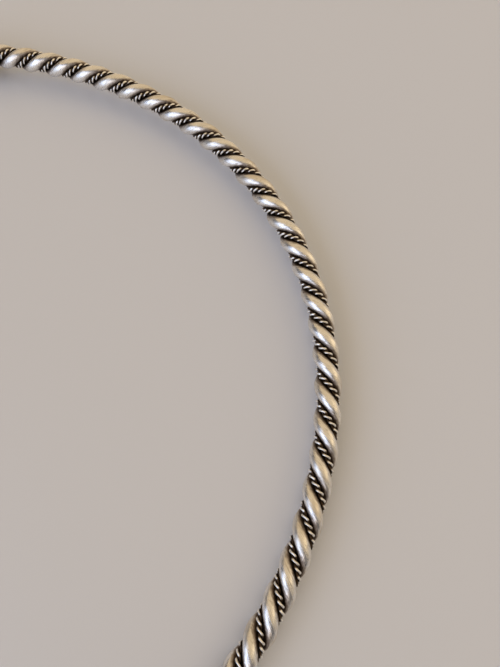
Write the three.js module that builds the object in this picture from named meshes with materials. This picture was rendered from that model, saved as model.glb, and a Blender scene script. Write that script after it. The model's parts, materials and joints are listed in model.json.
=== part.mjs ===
// A silver neck ring: two heavy round wires twisted into a rope, a thin beaded cord laid in each of the two
// grooves between them, and a cast knob with a socket on each end. It lies on its two knobs and the back of
// the ring. Millimetres, +Z up, the opening towards -Y, the origin on the surface under the ring's middle.
import * as THREE from "three";

// The ring: the middle of the rope follows an oval that is open at the front.
const RING_HALF_WIDTH = 76;
const RING_HALF_DEPTH = 65;
const OPENING = 30; // along the oval, from one knob's end to the other's

// The rope.
const WIRE_DIAMETER = 2;
const CORD_DIAMETER = 0.85; // over both of the thin wires that make a cord
const TWIST_PITCH = 9.4; // about the length of rope for one turn; the turns come out whole
const TWIST_HAND = -1; // -1 is left-handed, 1 right-handed
const TWIST_START_DEG = 0; // where the first wire stands at both sockets' mouths, 0 outwards, 90 up

// The knobs on the ends, each cast in one with its socket.
const SOCKET_WALL = 0.6;
const SOCKET_DEPTH = 4.5; // how far the rope goes in
const SOCKET_CLEARANCE = 0.3; // between the rope and the socket's wall
const SLEEVE_LENGTH = 6.5;
const BEAD_RADIUS = 0.5; // the raised rings at both ends of the sleeve
const SHOULDER_LENGTH = 0.5; // from the second raised ring to the neck
const NECK_RADIUS = 2.3;
const KNOB_DIAMETER = 7.8;
const KNOB_LENGTH = 7;
const END_FACE_RADIUS = 1.6; // the flat at the tip of the knob

// Clear space between solids that would otherwise touch.
const STRAND_GAP = 0.05; // taken off the corners of each strand
const SEAT_GAP = 0.3; // between the rope's cut ends and the bottom of the socket

// How finely the round forms are cut into flats.
const STATIONS_PER_TURN = 6;
const WIRE_SIDES = 6;
const CORD_SIDES = 3;
const TERMINAL_SIDES = 12;
const BEAD_STEPS = 3;
const KNOB_STEPS = 3; // from the neck to the widest place, and from there to the tip

const ROPE_RADIUS = WIRE_DIAMETER; // two wires side by side
const SOCKET_RADIUS = ROPE_RADIUS + SOCKET_CLEARANCE;
const SLEEVE_RADIUS = SOCKET_RADIUS + SOCKET_WALL;
const TERMINAL_LENGTH = SLEEVE_LENGTH + KNOB_LENGTH;
const ROPE_SEAT = SOCKET_DEPTH - SEAT_GAP; // length of rope inside each socket
const CHORD_SHARE = Math.cos(Math.PI / STATIONS_PER_TURN); // how near its middle a turn's chords come
const HALVINGS = 50;

// The oval that the rope follows, counter-clockwise seen from above, starting and ending at the front.
const oval = new THREE.EllipseCurve(
  0, 0, RING_HALF_WIDTH, RING_HALF_DEPTH, -Math.PI / 2, (3 * Math.PI) / 2,
);
oval.arcLengthDivisions = 2000;
const OVAL_LENGTH = oval.getLength();
const MOUTH = OPENING / 2 + TERMINAL_LENGTH; // along the oval, from the front to the mouth of a socket
const FREE_ROPE = OVAL_LENGTH - 2 * MOUTH; // from mouth to mouth
const ROPE_LENGTH = FREE_ROPE + 2 * ROPE_SEAT;
const TURNS = Math.round(FREE_ROPE / TWIST_PITCH); // whole, so that both sockets hold the strands alike
const TURN_LENGTH = FREE_ROPE / TURNS;
const ADVANCE = TURN_LENGTH / (2 * Math.PI); // along the rope for each radian of twist
const HALF_STATIONS = Math.ceil((ROPE_LENGTH / 2 / TURN_LENGTH) * STATIONS_PER_TURN); // to the ring's back

// The middle of the rope at a distance from the first mouth. Inside the sockets it runs straight.
function ropeLine(distance) {
  const onOval = THREE.MathUtils.clamp(distance, 0, FREE_ROPE);
  const u = (MOUTH + onOval) / OVAL_LENGTH;
  const point = oval.getPointAt(u);
  const way = oval.getTangentAt(u);
  const tangent = new THREE.Vector3(way.x, way.y, 0);
  const place = new THREE.Vector3(point.x, point.y, 0).addScaledVector(tangent, distance - onOval);
  return { place, tangent };
}

// The rope's middle line, with a frame that turns right-handed, as the strands do.
class TwistedLine extends THREE.Curve {
  distanceAt(u) {
    return u * ROPE_LENGTH - ROPE_SEAT;
  }
  getPoint(u) {
    return ropeLine(this.distanceAt(u)).place;
  }
  getPointAt(u) {
    return this.getPoint(u);
  }
  computeFrenetFrames(steps) {
    const frames = { tangents: [], normals: [], binormals: [] };
    for (let i = 0; i <= steps; i += 1) {
      const distance = this.distanceAt(i / steps);
      const { tangent } = ropeLine(distance);
      const up = new THREE.Vector3(0, 0, 1);
      const outward = new THREE.Vector3().crossVectors(tangent, up);
      const twist = THREE.MathUtils.degToRad(TWIST_START_DEG) - (FREE_ROPE - distance) / ADVANCE;
      const normal = outward.applyAxisAngle(tangent, twist);
      frames.tangents.push(tangent);
      frames.normals.push(normal);
      frames.binormals.push(new THREE.Vector3().crossVectors(tangent, normal));
    }
    return frames;
  }
}

// The value between two limits at which a rising function passes zero.
function halve(rising, low, high) {
  let [from, to] = [low, high];
  for (let i = 0; i < HALVINGS; i += 1) {
    const middle = (from + to) / 2;
    if (rising(middle) < 0) from = middle;
    else to = middle;
  }
  return to;
}

// How near two helices of the rope's twist, a quarter turn apart, come to each other.
function helixDistance(radiusA, radiusB) {
  const nearest = halve(
    (turn) => turn * ADVANCE ** 2 - radiusA * radiusB * Math.cos(turn), 0, Math.PI / 2,
  );
  const across = radiusA ** 2 + radiusB ** 2 - 2 * radiusA * radiusB * Math.sin(nearest);
  return Math.sqrt(across + (ADVANCE * nearest) ** 2);
}

// The radius at which a cord rests on both heavy wires.
function cordSeatRadius() {
  const touching = (WIRE_DIAMETER + CORD_DIAMETER) / 2;
  return halve(
    (radius) => helixDistance(WIRE_DIAMETER / 2, radius) - touching, 0, ROPE_RADIUS + CORD_DIAMETER,
  );
}

// A polygon's corners lie outside the round that it stands for by as much as its flats lie inside.
function cornerSwell(sides) {
  return 1 / Math.sqrt(Math.cos(Math.PI / sides));
}

// A round wire on a helix, cut square across the rope: an oval, bent round the rope's middle. One corner
// points at that middle, and the corners keep clear of the next strand also where they run along chords.
function strandSection(helixRadius, wireRadius, sides) {
  const slope = Math.hypot(helixRadius, ADVANCE);
  const corner = wireRadius * cornerSwell(sides) * CHORD_SHARE - STRAND_GAP;
  const points = [];
  for (let i = 0; i < sides; i += 1) {
    const around = Math.PI + (2 * Math.PI * i) / sides;
    const out = helixRadius + corner * Math.cos(around);
    const across = (corner * Math.sin(around) * ADVANCE) / slope;
    const bend = (corner * Math.sin(around) * helixRadius) / (slope * ADVANCE);
    const point = new THREE.Vector2(
      out * Math.cos(bend) - across * Math.sin(bend),
      out * Math.sin(bend) + across * Math.cos(bend),
    );
    points.push(point.multiplyScalar(cornerSwell(STATIONS_PER_TURN)));
  }
  return points;
}

// A strand of the rope, at an angle from the first wire.
function strand(name, helixRadius, wireRadius, sides, angle, material) {
  const middle = new THREE.Vector2();
  const section = strandSection(helixRadius, wireRadius, sides)
    .map((point) => point.rotateAround(middle, angle));
  const geometry = new THREE.ExtrudeGeometry(new THREE.Shape(section), {
    steps: 2 * HALF_STATIONS,
    extrudePath: new TwistedLine(),
  });
  const mesh = new THREE.Mesh(geometry, material);
  mesh.name = name;
  return mesh;
}

// Part of an oval's edge, between two angles from the axis, as points of a turned outline.
function arc(radius, middle, height, halfLength, from, to, steps) {
  const points = [];
  for (let i = 0; i <= steps; i += 1) {
    const angle = from + ((to - from) * i) / steps;
    points.push(new THREE.Vector2(
      radius + height * Math.sin(angle), middle - halfLength * Math.cos(angle),
    ));
  }
  return points;
}

// A raised ring round the sleeve.
function bead(start) {
  return arc(SLEEVE_RADIUS, start + BEAD_RADIUS, BEAD_RADIUS, BEAD_RADIUS, 0, Math.PI, BEAD_STEPS);
}

// The outline of a terminal, from the bottom of its socket round the mouth to the tip. The first number is
// the distance from its axis, the second the distance from its mouth.
function terminalOutline() {
  const knobRadius = KNOB_DIAMETER / 2;
  const knobMiddle = SLEEVE_LENGTH + KNOB_LENGTH / 2;
  const neckAngle = Math.asin(NECK_RADIUS / knobRadius);
  const faceAngle = Math.PI - Math.asin(END_FACE_RADIUS / knobRadius);
  const halfLength = KNOB_LENGTH / 2 / -Math.cos(faceAngle);
  const widest = Math.PI / 2;
  return [
    new THREE.Vector2(0, SOCKET_DEPTH),
    new THREE.Vector2(SOCKET_RADIUS, SOCKET_DEPTH),
    new THREE.Vector2(SOCKET_RADIUS, 0),
    ...bead(0),
    ...bead(SLEEVE_LENGTH - SHOULDER_LENGTH - 2 * BEAD_RADIUS),
    ...arc(0, knobMiddle, knobRadius, halfLength, neckAngle, widest, KNOB_STEPS),
    ...arc(0, knobMiddle, knobRadius, halfLength, widest, faceAngle, KNOB_STEPS).slice(1),
    new THREE.Vector2(0, TERMINAL_LENGTH),
  ];
}

// A terminal on the rope's end, pointing on along the rope.
function terminal(name, distance, pointing, material) {
  const mesh = new THREE.Mesh(new THREE.LatheGeometry(terminalOutline(), TERMINAL_SIDES), material);
  const { place, tangent } = ropeLine(distance);
  mesh.name = name;
  mesh.position.copy(place);
  mesh.quaternion.setFromUnitVectors(
    new THREE.Vector3(0, 1, 0), tangent.clone().multiplyScalar(pointing),
  );
  return mesh;
}

const heavyWire = new THREE.MeshStandardMaterial({ color: 0xd6d0c4, roughness: 0.22, metalness: 1 });
const beadedCord = new THREE.MeshStandardMaterial({ color: 0x6e675c, roughness: 0.4, metalness: 1 });
const castSilver = new THREE.MeshStandardMaterial({ color: 0xccc6ba, roughness: 0.28, metalness: 1 });

const ring = new THREE.Group();

// The strands are laid right-handed, so that the edges between their flats run along each wire. A mirror in
// the ring's own plane makes the twist left-handed.
const rope = new THREE.Group();
rope.scale.z = TWIST_HAND;
const wireSeat = WIRE_DIAMETER / 2;
const cordSeat = cordSeatRadius();
["a", "b"].forEach((letter, i) => {
  rope.add(strand(
    `heavy_wire_${letter}`, wireSeat, WIRE_DIAMETER / 2, WIRE_SIDES, i * Math.PI, heavyWire,
  ));
  rope.add(strand(
    `beaded_cord_${letter}`, cordSeat, CORD_DIAMETER / 2, CORD_SIDES, (i + 0.5) * Math.PI, beadedCord,
  ));
});
ring.add(rope);
ring.add(terminal("terminal_right", 0, -1, castSilver));
ring.add(terminal("terminal_left", FREE_ROPE, 1, castSilver));

// Lay the ring down: the thick knobs hold the front up, so it slopes a little down towards the back.
const knobPlace = ropeLine(0).place.addScaledVector(
  ropeLine(0).tangent, -(SLEEVE_LENGTH + KNOB_LENGTH / 2),
);
const slope = Math.asin((KNOB_DIAMETER / 2 - ROPE_RADIUS) / (RING_HALF_DEPTH - knobPlace.y));
ring.rotation.x = -slope;

const torc = new THREE.Group();
torc.add(ring);
torc.updateMatrixWorld(true);
const box = new THREE.Box3().setFromObject(torc, true);
ring.position.set(-(box.min.x + box.max.x) / 2, -(box.min.y + box.max.y) / 2, -box.min.z);

export default torc;
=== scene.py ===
"""Looks of the silver torc: round twisted wires, cords of two thin wires and turned knobs, built
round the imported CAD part. Lengths are millimetres, as in part.mjs, until laid_down() turns them
into metres. The studio and the depths of the materials' bumps are in metres from the start."""

import json
import math

import bpy
import numpy as np
from mathutils import Matrix, Vector


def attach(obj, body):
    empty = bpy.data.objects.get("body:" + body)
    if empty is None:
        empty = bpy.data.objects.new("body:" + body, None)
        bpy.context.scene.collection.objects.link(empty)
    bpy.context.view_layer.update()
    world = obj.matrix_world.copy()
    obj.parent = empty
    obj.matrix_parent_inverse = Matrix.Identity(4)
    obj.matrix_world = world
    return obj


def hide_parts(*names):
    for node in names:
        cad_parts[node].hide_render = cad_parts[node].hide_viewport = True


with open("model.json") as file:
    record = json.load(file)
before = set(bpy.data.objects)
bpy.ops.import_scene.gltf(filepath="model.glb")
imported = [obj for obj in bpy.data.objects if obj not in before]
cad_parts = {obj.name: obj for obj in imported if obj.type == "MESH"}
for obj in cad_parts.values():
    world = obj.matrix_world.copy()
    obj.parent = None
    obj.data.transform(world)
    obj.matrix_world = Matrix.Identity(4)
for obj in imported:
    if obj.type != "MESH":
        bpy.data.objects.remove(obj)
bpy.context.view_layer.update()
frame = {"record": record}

METRES = 0.001  # metres in a millimetre
UP = np.array([0.0, 0.0, 1.0])

# The ring and its twist, as in part.mjs.
RING_HALF_WIDTH = 76.0
RING_HALF_DEPTH = 65.0
OPENING = 30.0
TWIST_PITCH = 9.4  # length of one turn of the rope, before the turns are made a whole number
TWIST_START = 0.0
ROPE_RADIUS = 2.0
ROPE_SEAT = 4.2  # length of rope inside each socket
CORD_SEAT = 1.3092  # radius at which a cord rests on both heavy wires
SOCKET_RADIUS = 2.3
SLEEVE_RADIUS = 2.9
SLEEVE_LENGTH = 6.5
BEAD_RADIUS = 0.5
SHOULDER_LENGTH = 0.5
NECK_RADIUS = 2.3
KNOB_RADIUS = 3.9
KNOB_LENGTH = 7.0
END_FACE_RADIUS = 1.6
TERMINAL_LENGTH = SLEEVE_LENGTH + KNOB_LENGTH

# The round forms that replace the CAD's flats, a hair slimmer so that they stay in its box.
WIRE_RADIUS = 0.985
PLY_RADIUS = 0.2125  # half of a cord is one of its two thin wires
PLY_FLAT_RADIUS = 0.19  # of a thin wire along the side where it presses on the other
PLY_PRESS = 0.003  # how far each thin wire is pressed past its cord's middle
PLY_TURNS = 5.7  # of each thin wire round its cord, for each turn of the rope
PLY_GRAIN_SHIFT = 3.0  # between the two thin wires' surface coordinates, so that they differ
KNOB_TURNED = 3.89  # the knob's radius

# How finely the round forms are divided.
OVAL_SAMPLES = 40001
WIRE_SIDES = 26
WIRE_STATIONS = 42  # along each turn of the rope
PLY_SIDES = 10
PLY_STATIONS = 90  # along each turn of the rope
KNOB_SIDES = 80
BEAD_STEPS = 18
SLEEVE_STEPS = 11
KNOB_STEPS = 56

# The turned outline of a terminal, in points (distance from the axis, distance from the mouth).
SOLDER_FILLET = (
    (0.0, 0.55), (1.2, 0.52), (1.9, 0.40), (2.2, 0.16), (SOCKET_RADIUS + 0.06, 0.02),
)
BEAD_START = 0.12  # radians; a raised ring's arc starts clear of the point before it
FACE_CLEARANCE = 0.06  # radians between the knob's arc and the edge of its end face
EDGE_ROUNDING = 0.22  # where the knob meets its end face
FACE_HOLLOW = 0.01  # how far the rim of the end face lies below its middle

# How worn bright the outline is, from 0 in the necks to 1 where it is handled.
SOLDER_WEAR = (0.0, 0.0, 0.0, 0.0, 0.15)
TIP_WEAR = (1.0, 0.9, 0.8, 0.8)
LEAST_BEAD_WEAR = 0.28
BEAD_WEAR_POWER = 0.6
LEAST_SLEEVE_WEAR = 0.2
SLEEVE_WEAR_RISE = 3.2
LEAST_KNOB_WEAR = 0.22
KNOB_WEAR_RISE = 6.0


# ---- lines of points ----


def unit(vectors):
    return vectors / np.linalg.norm(vectors, axis=1, keepdims=True)


def lengths_along(points):
    """The length of a line of points up to each of them."""
    steps = np.linalg.norm(np.diff(points, axis=0), axis=1)
    return np.concatenate([[0.0], np.cumsum(steps)])


def angles_around(sides):
    return np.arange(sides) * 2 * math.pi / sides


# ---- the ring's middle line ----


def oval_points(angles):
    return np.stack([RING_HALF_WIDTH * np.cos(angles), RING_HALF_DEPTH * np.sin(angles)], 1)


# Angles along the oval from the front, counter-clockwise from above, and the length up to each.
OVAL_ANGLES = np.linspace(-math.pi / 2, 1.5 * math.pi, OVAL_SAMPLES)
OVAL_LENGTHS = lengths_along(oval_points(OVAL_ANGLES))
MOUTH = OPENING / 2 + TERMINAL_LENGTH
FREE_ROPE = OVAL_LENGTHS[-1] - 2 * MOUTH
TURNS = round(FREE_ROPE / TWIST_PITCH)
ADVANCE = FREE_ROPE / TURNS / (2 * math.pi)  # along the rope for each radian of twist


def rope_line(distance):
    """Places and directions of the rope's middle at distances from the right mouth.

    Past the mouths it goes on straight."""
    distance = np.atleast_1d(np.asarray(distance, float))
    on_oval = np.clip(distance, 0.0, FREE_ROPE)
    angle = np.interp(MOUTH + on_oval, OVAL_LENGTHS, OVAL_ANGLES)
    flat = np.zeros_like(angle)
    place = np.stack([RING_HALF_WIDTH * np.cos(angle), RING_HALF_DEPTH * np.sin(angle), flat], 1)
    way = np.stack([-RING_HALF_WIDTH * np.sin(angle), RING_HALF_DEPTH * np.cos(angle), flat], 1)
    way = unit(way)
    return place + way * (distance - on_oval)[:, None], way


def slope_of_ring():
    """How far the ring tips down to the back, lying on its knobs and the back of the rope."""
    place, way = rope_line(0.0)
    knob_y = (place - way * (SLEEVE_LENGTH + KNOB_LENGTH / 2))[0, 1]
    return math.asin((KNOB_RADIUS - ROPE_RADIUS) / (RING_HALF_DEPTH - knob_y))


TILT = np.array(Matrix.Rotation(-slope_of_ring(), 3, "X"))


def shift_of_ring():
    """From the ring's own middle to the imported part's, by its mounts, the tips of the knobs."""
    tips = []
    for distance, pointing in ((0.0, -1.0), (FREE_ROPE, 1.0)):
        place, way = rope_line(distance)
        tips.append((place + way * pointing * TERMINAL_LENGTH)[0] @ TILT.T)
    mounts = [m["pos_m"] for m in frame["record"]["mounts"]]
    return np.mean(mounts, axis=0) / METRES - np.mean(tips, axis=0)


SHIFT = shift_of_ring()


def laid_down(points):
    """Points of the flat ring, as the ring lies, in metres."""
    return (points @ TILT.T + SHIFT) * METRES


# ---- meshes ----


def make_object(name, points, faces, attributes):
    """A smooth mesh object from points of the flat ring, with values kept at its points."""
    mesh = bpy.data.meshes.new(name)
    mesh.from_pydata(laid_down(points).tolist(), [], faces)
    for key, values in attributes.items():
        if values.ndim == 2:
            layer = mesh.attributes.new(key, "FLOAT_VECTOR", "POINT")
            layer.data.foreach_set("vector", values.astype(np.float32).ravel())
        else:
            layer = mesh.attributes.new(key, "FLOAT", "POINT")
            layer.data.foreach_set("value", values.astype(np.float32))
    mesh.polygons.foreach_set("use_smooth", [True] * len(mesh.polygons))
    mesh.update()
    made = bpy.data.objects.new(name, mesh)
    bpy.context.scene.collection.objects.link(made)
    return made


def strand_path(radius, angle, stations_per_turn):
    """A strand's distances along the rope, its middle, its directions outwards and its turn."""
    length = FREE_ROPE + 2 * ROPE_SEAT
    count = int(round(length / (2 * math.pi * ADVANCE) * stations_per_turn))
    distance = np.linspace(-ROPE_SEAT, FREE_ROPE + ROPE_SEAT, count + 1)
    place, way = rope_line(distance)
    outward = np.stack([way[:, 1], -way[:, 0], np.zeros(len(way))], 1)
    turn = TWIST_START + angle - (FREE_ROPE - distance) / ADVANCE
    radial = outward * np.cos(turn)[:, None] + UP * np.sin(turn)[:, None]
    return distance, place + radial * radius, radial, turn


def frames_along(path, reference):
    """Two directions square to a path at each point, the first as near the reference as can be."""
    way = unit(np.gradient(path, axis=0))
    first = unit(reference - way * np.sum(reference * way, axis=1, keepdims=True))
    return first, np.cross(way, first)


def side_faces(rings, sides):
    """The four-sided faces between rings of points that come ring by ring."""
    rows, cols = np.arange(rings - 1)[:, None] * sides, np.arange(sides)[None, :]
    after = (cols + 1) % sides
    corners = [rows + cols, rows + after, rows + sides + after, rows + sides + cols]
    return np.stack(corners, -1).reshape(-1, 4)


def tube_faces(rings, sides):
    """The faces of a tube of rings of points, closed at both ends."""
    last = (rings - 1) * sides
    ends = [list(range(sides - 1, -1, -1)), [last + i for i in range(sides)]]
    return side_faces(rings, sides).tolist() + ends


def surface_coordinates(first, second, along):
    """Where each point of a wire is on it: its place in the section and its distance along."""
    return np.stack([
        np.tile(first, len(along)),
        np.tile(second, len(along)),
        np.repeat(along, len(first)),
    ], 1)


def reach_of(points, distance, sides):
    """How far each point of a wire is from the rope's middle line."""
    middle, _ = rope_line(distance)
    return np.linalg.norm(points - np.repeat(middle, sides, axis=0), axis=1)


def heavy_wire(name, angle):
    """A heavy round wire, closed at both ends."""
    distance, path, radial, _ = strand_path(WIRE_RADIUS, angle, WIRE_STATIONS)
    first, second = frames_along(path, radial)
    around = angles_around(WIRE_SIDES)
    cosine, sine = np.cos(around), np.sin(around)
    ring = cosine[None, :, None] * first[:, None, :] + sine[None, :, None] * second[:, None, :]
    points = (path[:, None, :] + WIRE_RADIUS * ring).reshape(-1, 3)
    return make_object(name, points, tube_faces(len(path), WIRE_SIDES), {
        "reach": reach_of(points, distance, WIRE_SIDES),
        "local": surface_coordinates(
            WIRE_RADIUS * cosine, WIRE_RADIUS * sine, lengths_along(path)
        ),
    })


def beaded_cord(name, angle):
    """Two thin wires twisted hard together.

    They press each other a little flat, and their backs stand up as slanting beads."""
    distance, middle, radial, turn = strand_path(CORD_SEAT, angle, PLY_STATIONS)
    first, second = frames_along(middle, radial)
    along = lengths_along(middle)
    around = angles_around(PLY_SIDES)
    cosine, sine = np.cos(around), np.sin(around)
    far = (PLY_RADIUS * (1.0 + cosine) - PLY_PRESS)[None, :, None]
    wide = (PLY_FLAT_RADIUS * sine)[None, :, None]
    points, faces, local = [], [], []
    for side in range(2):
        roll = (side * math.pi - PLY_TURNS * turn)[:, None]
        out = first * np.cos(roll) + second * np.sin(roll)
        across = second * np.cos(roll) - first * np.sin(roll)
        ply = middle[:, None, :] + far * out[:, None, :] + wide * across[:, None, :]
        points.append(ply.reshape(-1, 3))
        start = side * len(points[0])
        faces += [[start + i for i in face] for face in tube_faces(len(middle), PLY_SIDES)]
        local.append(surface_coordinates(
            PLY_RADIUS * cosine + PLY_GRAIN_SHIFT * side, PLY_RADIUS * sine, along
        ))
    reach = [reach_of(ply, distance, PLY_SIDES) for ply in points]
    values = {"reach": np.concatenate(reach), "local": np.concatenate(local)}
    return make_object(name, np.concatenate(points), faces, values)


# ---- the terminals ----


def arc(radius, middle, height, half_length, start, end, steps):
    """Part of an oval's edge, as points of the outline."""
    angle = np.linspace(start, end, steps + 1)
    return np.stack([radius + height * np.sin(angle), middle - half_length * np.cos(angle)], 1)


def terminal_outline():
    """The outline from the solder in the mouth to the tip, and how worn bright each point is."""
    neck_angle = math.asin(NECK_RADIUS / KNOB_RADIUS)
    face_angle = math.pi - math.asin(END_FACE_RADIUS / KNOB_RADIUS)
    half_length = KNOB_LENGTH / 2 / -math.cos(face_angle)
    knob_middle = SLEEVE_LENGTH + KNOB_LENGTH / 2
    second_bead = SLEEVE_LENGTH - SHOULDER_LENGTH - BEAD_RADIUS
    beads = [
        arc(SLEEVE_RADIUS, start, BEAD_RADIUS, BEAD_RADIUS, BEAD_START, math.pi, BEAD_STEPS)
        for start in (BEAD_RADIUS, second_bead)
    ]
    between = np.linspace(2 * BEAD_RADIUS, second_bead - BEAD_RADIUS, SLEEVE_STEPS + 1)[1:-1]
    sleeve = np.stack([np.full(len(between), SLEEVE_RADIUS), between], 1)
    knob = arc(
        0.0, knob_middle, KNOB_TURNED, half_length,
        neck_angle, face_angle - FACE_CLEARANCE, KNOB_STEPS,
    )
    tip = np.array([
        [END_FACE_RADIUS - EDGE_ROUNDING * 0.1, TERMINAL_LENGTH - EDGE_ROUNDING * 0.25],
        [END_FACE_RADIUS - EDGE_ROUNDING, TERMINAL_LENGTH - FACE_HOLLOW],
        [END_FACE_RADIUS * 0.5, TERMINAL_LENGTH],
        [0.0, TERMINAL_LENGTH],
    ])

    bead_rise = np.sin(np.linspace(BEAD_START, math.pi, BEAD_STEPS + 1)) ** BEAD_WEAR_POWER
    bead_wear = LEAST_BEAD_WEAR + (1.0 - LEAST_BEAD_WEAR) * bead_rise
    sleeve_rise = SLEEVE_WEAR_RISE * np.sin(np.linspace(0.0, math.pi, SLEEVE_STEPS + 1)[1:-1])
    sleeve_wear = np.clip(LEAST_SLEEVE_WEAR + sleeve_rise, 0.0, 1.0)
    knob_rise = np.linspace(0.0, 1.0, KNOB_STEPS + 1) * KNOB_WEAR_RISE
    knob_wear = np.clip(LEAST_KNOB_WEAR + knob_rise, 0.0, 1.0)

    outline = [np.array(SOLDER_FILLET), beads[0], sleeve, beads[1], knob, tip]
    wear = [SOLDER_WEAR, bead_wear, sleeve_wear, bead_wear, knob_wear, TIP_WEAR]
    return np.concatenate(outline), np.concatenate(wear)


def terminal(name, distance, pointing):
    """Socket and knob in one casting, its outline turned round the end of the rope."""
    place, way = (v[0] for v in rope_line(distance))
    axis = way * pointing
    side = np.cross(axis, UP)
    outline, wear = terminal_outline()
    inner = outline[1:-1]
    around = angles_around(KNOB_SIDES)
    ring = np.cos(around)[:, None] * UP + np.sin(around)[:, None] * side
    points = [place + axis * outline[0, 1]]
    for radius, far in inner:
        points += list(place + axis * far + radius * ring)
    points.append(place + axis * outline[-1, 1])
    points = np.array(points)

    faces = (1 + side_faces(len(inner), KNOB_SIDES)).tolist()
    last = len(points) - 1
    last_ring = last - KNOB_SIDES
    for col in range(KNOB_SIDES):
        after = (col + 1) % KNOB_SIDES
        faces.append([0, 1 + after, 1 + col])
        faces.append([last, last_ring + col, last_ring + after])
    full_wear = np.concatenate([[wear[0]], np.repeat(wear[1:-1], KNOB_SIDES), [wear[-1]]])
    return make_object(name, points, faces, {"wear": full_wear, "local": points - place})


# ---- materials ----


class Nodes:
    """Small helper to write a material's nodes one line each."""

    def __init__(self, name):
        self.material = bpy.data.materials.new(name)
        self.material.use_nodes = True
        self.tree = self.material.node_tree
        self.shader = next(n for n in self.tree.nodes if n.type == "BSDF_PRINCIPLED")

    def feed(self, socket, value):
        """Links another node's output to the socket, or sets a plain value on it."""
        if isinstance(value, bpy.types.NodeSocket):
            self.tree.links.new(value, socket)
        else:
            socket.default_value = value

    def add(self, kind, **inputs):
        node = self.tree.nodes.new(kind)
        for key, value in inputs.items():
            self.feed(node.inputs[key.replace("_", " ")], value)
        return node

    def attribute(self, name, output):
        node = self.tree.nodes.new("ShaderNodeAttribute")
        node.attribute_name = name
        return node.outputs[output]

    def noise(self, vector, scale, detail, roughness, stretch=None):
        if stretch is not None:
            vector = self.add("ShaderNodeMapping", Vector=vector, Scale=stretch).outputs["Vector"]
        node = self.add(
            "ShaderNodeTexNoise", Vector=vector, Scale=scale, Detail=detail, Roughness=roughness
        )
        return node.outputs["Fac"]

    def spread(self, value, given, result=(0.0, 1.0)):
        """The value's given range, low to high, as a smooth change over the resulting range."""
        node = self.add(
            "ShaderNodeMapRange", Value=value, From_Min=given[0], From_Max=given[1],
            To_Min=result[0], To_Max=result[1],
        )
        node.interpolation_type = "SMOOTHSTEP"
        return node.outputs["Result"]

    def math(self, operation, first, second):
        node = self.tree.nodes.new("ShaderNodeMath")
        node.operation = operation
        for socket, value in zip(node.inputs, (first, second)):
            self.feed(socket, value)
        return node.outputs["Value"]

    def uneven(self, value, noise, amount):
        """The value, moved up and down by a noise, by half the amount at most."""
        offset = self.math("MULTIPLY", self.math("SUBTRACT", noise, 0.5), amount)
        return self.math("ADD", value, offset)

    def mix(self, share, first, second):
        """A colour from the first to the second as the share goes from 0 to 1."""
        node = self.tree.nodes.new("ShaderNodeMix")
        node.data_type = "RGBA"
        sockets = (node.inputs["Factor"], node.inputs[6], node.inputs[7])
        for socket, value in zip(sockets, (share, first, second)):
            self.feed(socket, value)
        return node.outputs[2]

    def bump(self, height, strength, distance, normal=None):
        node = self.add("ShaderNodeBump", Height=height, Strength=strength, Distance=distance)
        if normal is not None:
            self.feed(node.inputs["Normal"], normal)
        return node.outputs["Normal"]

    def metal(self, colour, roughness, normal):
        """The finished material."""
        for key, value in (("Base Color", colour), ("Roughness", roughness), ("Normal", normal)):
            self.feed(self.shader.inputs[key], value)
        self.shader.inputs["Metallic"].default_value = 1.0
        return self.material


SILVER = (0.88, 0.85, 0.80, 1.0)
HAZED_SILVER = (0.74, 0.67, 0.56, 1.0)
CREAM_SILVER = (0.93, 0.90, 0.84, 1.0)
# Tarnish colours; the brown, grey and black also paint shade down in the rope's grooves.
BROWN_TARNISH_AND_SHADE = (0.10, 0.062, 0.035, 1.0)
GREY_TARNISH_AND_SHADE = (0.30, 0.25, 0.21, 1.0)
BLACK_TARNISH_AND_SHADE = (0.062, 0.041, 0.027, 1.0)

# Where the tarnish and painted shade give way, from all of it to none, by the millimetres from the
# rope's middle.
WIRE_BLACK = (1.49, 1.67)
WIRE_GREY = (1.62, 1.86)
CORD_BLACK = (1.41, 1.54)
CORD_BROWN = (1.49, 1.61)
# For the terminals, where their tarnish alone gives way, by how worn they are.
KNOB_BLACK = (0.12, 0.40)
KNOB_GREY = (0.30, 0.75)


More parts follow.
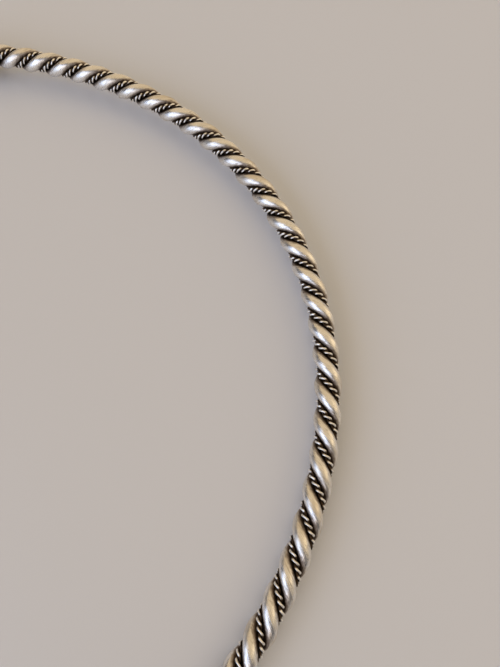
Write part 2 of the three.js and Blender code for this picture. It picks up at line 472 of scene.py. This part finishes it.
def polished_silver():
    """Hand-polished wire: hairlines along it, hazy patches, brown spots, and a black groove side
    that is tarnish and painted shade together.
    """
    n = Nodes("polished_silver_wire")
    local, reach = n.attribute("local", "Vector"), n.attribute("reach", "Fac")
    hairlines = n.noise(local, 1.0, detail=5.0, roughness=0.65, stretch=(3.8, 3.8, 0.18))
    patches = n.noise(local, 1.0, detail=3.0, roughness=0.6, stretch=(0.5, 0.5, 0.28))
    grain = n.noise(local, 3.4, detail=4.0, roughness=0.65, stretch=(1.0, 1.0, 0.55))
    specks = n.noise(local, 2.6, detail=3.0, roughness=0.6, stretch=(1.0, 1.0, 0.6))
    waves = n.noise(local, 1.0, detail=2.0, roughness=0.5, stretch=(0.9, 0.9, 0.5))

    # The black and grey are tarnish and painted shade together, deepest nearest the rope's middle
    # where the wire dips into the grooves.
    rough_reach = n.uneven(reach, grain, 0.42)
    bare_and_unshaded = n.spread(rough_reach, WIRE_BLACK)
    clean_and_unshaded = n.spread(rough_reach, WIRE_GREY)
    spots = n.spread(specks, (0.58, 0.66))
    colour = n.mix(n.spread(patches, (0.40, 0.72)), SILVER, HAZED_SILVER)
    colour = n.mix(n.spread(hairlines, (0.54, 0.76), (0.0, 0.5)), colour, BROWN_TARNISH_AND_SHADE)
    unpolished = n.math("SUBTRACT", 1.0, n.math("MULTIPLY", clean_and_unshaded, 0.75))
    spot_share = n.math("MULTIPLY", n.math("MULTIPLY", spots, unpolished), 0.85)
    colour = n.mix(spot_share, colour, BROWN_TARNISH_AND_SHADE)
    colour = n.mix(clean_and_unshaded, GREY_TARNISH_AND_SHADE, colour)
    colour = n.mix(bare_and_unshaded, BLACK_TARNISH_AND_SHADE, colour)

    scratched = n.spread(hairlines, (0.3, 0.7), (0.19, 0.33))
    hazed = n.spread(patches, (0.4, 0.75), (0.0, 0.12))
    tarnished = n.spread(clean_and_unshaded, (0.0, 1.0), (0.22, 0.0))
    rough = n.math("ADD", n.math("ADD", scratched, hazed), tarnished)

    normal = n.bump(waves, 0.6, 0.00010)
    normal = n.bump(hairlines, 0.8, 0.00006, normal)
    normal = n.bump(spots, -0.3, 0.00003, normal)
    return n.metal(colour, rough, normal)


def blackened_and_shaded_cord():
    """Thin wires blackened all over and worn bright on the tops of the beads; the black in their
    depths is also painted shade.
    """
    n = Nodes("blackened_and_shaded_silver_cord")
    local, reach = n.attribute("local", "Vector"), n.attribute("reach", "Fac")
    grain = n.noise(local, 6.0, detail=3.0, roughness=0.6)
    patches = n.noise(local, 1.0, detail=2.0, roughness=0.5, stretch=(0.5, 0.5, 0.8))

    # The black and brown are tarnish and painted shade together, deepest nearest the rope's middle,
    # down in the groove; the bead tops go cream.
    rough_reach = n.uneven(n.uneven(reach, grain, 0.16), patches, 0.20)
    rubbed_and_unshaded = n.spread(rough_reach, CORD_BLACK)
    bright = n.spread(rough_reach, CORD_BROWN)
    colour = n.mix(bright, BROWN_TARNISH_AND_SHADE, CREAM_SILVER)
    colour = n.mix(rubbed_and_unshaded, BLACK_TARNISH_AND_SHADE, colour)
    rough = n.spread(bright, (0.0, 1.0), (0.55, 0.36))
    return n.metal(colour, rough, n.bump(grain, 0.4, 0.00002))


def cast_silver():
    """Smooth cast silver with a satin skin, fine pits, and dark tarnish left in the necks."""
    n = Nodes("cast_silver_knob")
    local, wear = n.attribute("local", "Vector"), n.attribute("wear", "Fac")
    grain = n.noise(local, 5.0, detail=4.0, roughness=0.6)
    patches = n.noise(local, 0.45, detail=3.0, roughness=0.6)
    scratches = n.noise(local, 1.0, detail=4.0, roughness=0.6, stretch=(9.0, 1.2, 2.5))
    specks = n.noise(local, 3.4, detail=2.0, roughness=0.5)

    rough_wear = n.uneven(wear, grain, 0.35)
    bare_and_unshaded = n.spread(rough_wear, KNOB_BLACK)
    clean_and_unshaded = n.spread(rough_wear, KNOB_GREY)
    pits = n.spread(specks, (0.64, 0.72))
    colour = n.mix(n.spread(patches, (0.38, 0.70)), SILVER, HAZED_SILVER)
    colour = n.mix(n.math("MULTIPLY", pits, 0.7), colour, BROWN_TARNISH_AND_SHADE)
    colour = n.mix(clean_and_unshaded, GREY_TARNISH_AND_SHADE, colour)
    colour = n.mix(bare_and_unshaded, BLACK_TARNISH_AND_SHADE, colour)

    scratched = n.spread(scratches, (0.3, 0.7), (0.22, 0.33))
    tarnished = n.spread(clean_and_unshaded, (0.0, 1.0), (0.28, 0.0))
    rough = n.math("ADD", scratched, tarnished)

    normal = n.bump(patches, 0.4, 0.00010)
    normal = n.bump(scratches, 0.25, 0.000015, normal)
    normal = n.bump(pits, -0.4, 0.00004, normal)
    return n.metal(colour, rough, normal)


# ---- the camera, fitted to the photograph ----

FOCAL_PIXELS = 525.0
PHOTO_HEIGHT = 667.0  # pixels
SENSOR = 36.0
CLIP_START, CLIP_END = 0.005, 20.0
CAMERA_PLACE = (-64.041, 26.727, 73.464)  # millimetres from the ring's own middle
CAMERA_DOWN = math.radians(71.231)
CAMERA_TURN = math.radians(182.912)
CAMERA_ROLL = math.radians(-8.154)


def camera_axes():
    """The picture's right, up and towards-the-viewer directions."""
    ahead = Vector((
        math.sin(CAMERA_TURN) * math.cos(CAMERA_DOWN),
        math.cos(CAMERA_TURN) * math.cos(CAMERA_DOWN),
        -math.sin(CAMERA_DOWN),
    ))
    level = ahead.cross(Vector(UP)).normalized()
    steep = level.cross(ahead)
    right = level * math.cos(CAMERA_ROLL) + steep * math.sin(CAMERA_ROLL)
    up = steep * math.cos(CAMERA_ROLL) - level * math.sin(CAMERA_ROLL)
    return right, up, -ahead


def add_camera():
    data = bpy.data.cameras.new("camera")
    data.sensor_width = SENSOR
    data.lens = FOCAL_PIXELS / PHOTO_HEIGHT * SENSOR
    data.clip_start, data.clip_end = CLIP_START, CLIP_END
    camera = bpy.data.objects.new("camera", data)
    turn = Matrix(camera_axes()).transposed().to_4x4()
    place = (Vector(CAMERA_PLACE) + Vector(SHIFT)) * METRES
    camera.matrix_world = Matrix.Translation(place) @ turn
    bpy.context.scene.collection.objects.link(camera)
    bpy.context.scene.camera = camera


# ---- the studio ----

FLOOR_HALF = 3.0  # it ends before the light panels
FLOOR_COLOUR = (0.70, 0.72, 0.77, 1.0)
FLOOR_ROUGHNESS = 0.36
FLOOR_SHEEN = 0.8
WORLD_COLOUR = (0.95, 0.93, 1.0, 1.0)
WORLD_STRENGTH = 0.14
LIT_PLACE = (-0.045, 0.0, 0.0)  # the middle of the rope that the photo shows

# Name, direction (the picture's right, up and towards the viewer), distance, size, power, colour.
LIGHTS = (
    ("warm_room", (0.20, 0.80, 0.56), 3.0, 10.0, 182.0, (1.0, 0.76, 0.43)),
    ("warm_wall", (0.92, 0.0, 0.39), 3.5, 4.5, 30.0, (1.0, 0.81, 0.55)),
    ("warm_side", (-0.30, -0.66, 0.69), 3.5, 2.4, 14.0, (1.0, 0.84, 0.70)),
    ("window_sky", (-0.80, -0.40, 0.45), 3.5, 5.0, 85.0, (0.60, 0.72, 1.0)),
    ("window", (-0.82, -0.05, 0.57), 3.5, 1.8, 7.5, (0.84, 0.88, 1.0)),
    ("window_low", (-0.78, -0.50, 0.40), 3.5, 1.9, 7.0, (0.80, 0.86, 1.0)),
)


def add_light(name, direction, distance, size, power, colour):
    """A soft square light that faces the lit place."""
    right, up, back = camera_axes()
    way = (right * direction[0] + up * direction[1] + back * direction[2]).normalized()
    data = bpy.data.lights.new(name, "AREA")
    data.shape, data.size, data.energy, data.color = "SQUARE", size, power, colour
    light = bpy.data.objects.new(name, data)
    turn = way.to_track_quat("Z", "Y").to_matrix().to_4x4()
    light.matrix_world = Matrix.Translation(Vector(LIT_PLACE) + way * distance) @ turn
    light.visible_camera = False
    bpy.context.scene.collection.objects.link(light)


def add_floor():
    mesh = bpy.data.meshes.new("floor")
    corners = [(x * FLOOR_HALF, y * FLOOR_HALF, 0) for x, y in ((-1, -1), (1, -1), (1, 1), (-1, 1))]
    mesh.from_pydata(corners, [], [(0, 1, 2, 3)])
    floor = bpy.data.objects.new("floor", mesh)
    n = Nodes("pale_floor")
    n.shader.inputs["Base Color"].default_value = FLOOR_COLOUR
    n.shader.inputs["Roughness"].default_value = FLOOR_ROUGHNESS
    n.shader.inputs["Specular IOR Level"].default_value = FLOOR_SHEEN
    mesh.materials.append(n.material)
    bpy.context.scene.collection.objects.link(floor)


def add_studio():
    add_floor()
    world = bpy.data.worlds.new("studio")
    world.use_nodes = True
    background = world.node_tree.nodes["Background"]
    background.inputs["Color"].default_value = WORLD_COLOUR
    background.inputs["Strength"].default_value = WORLD_STRENGTH
    bpy.context.scene.world = world
    bpy.context.scene.view_settings.view_transform = "Standard"
    for light in LIGHTS:
        add_light(*light)


add_camera()
add_studio()

pieces = {
    "heavy_wire_a": (heavy_wire("round_wire_a", 0.0), "polished_silver"),
    "heavy_wire_b": (heavy_wire("round_wire_b", math.pi), "polished_silver"),
    "beaded_cord_a": (beaded_cord("two_ply_cord_a", math.pi / 2), "blackened_silver"),
    "beaded_cord_b": (beaded_cord("two_ply_cord_b", 1.5 * math.pi), "blackened_silver"),
    "terminal_right": (terminal("turned_terminal_right", 0.0, -1.0), "cast_silver"),
    "terminal_left": (terminal("turned_terminal_left", FREE_ROPE, 1.0), "cast_silver"),
}
materials = {
    "polished_silver": polished_silver(),
    "blackened_silver": blackened_and_shaded_cord(),
    "cast_silver": cast_silver(),
}
for node, (piece, slot) in pieces.items():
    piece.data.materials.append(materials[slot])
    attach(piece, "root")
    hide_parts(node)
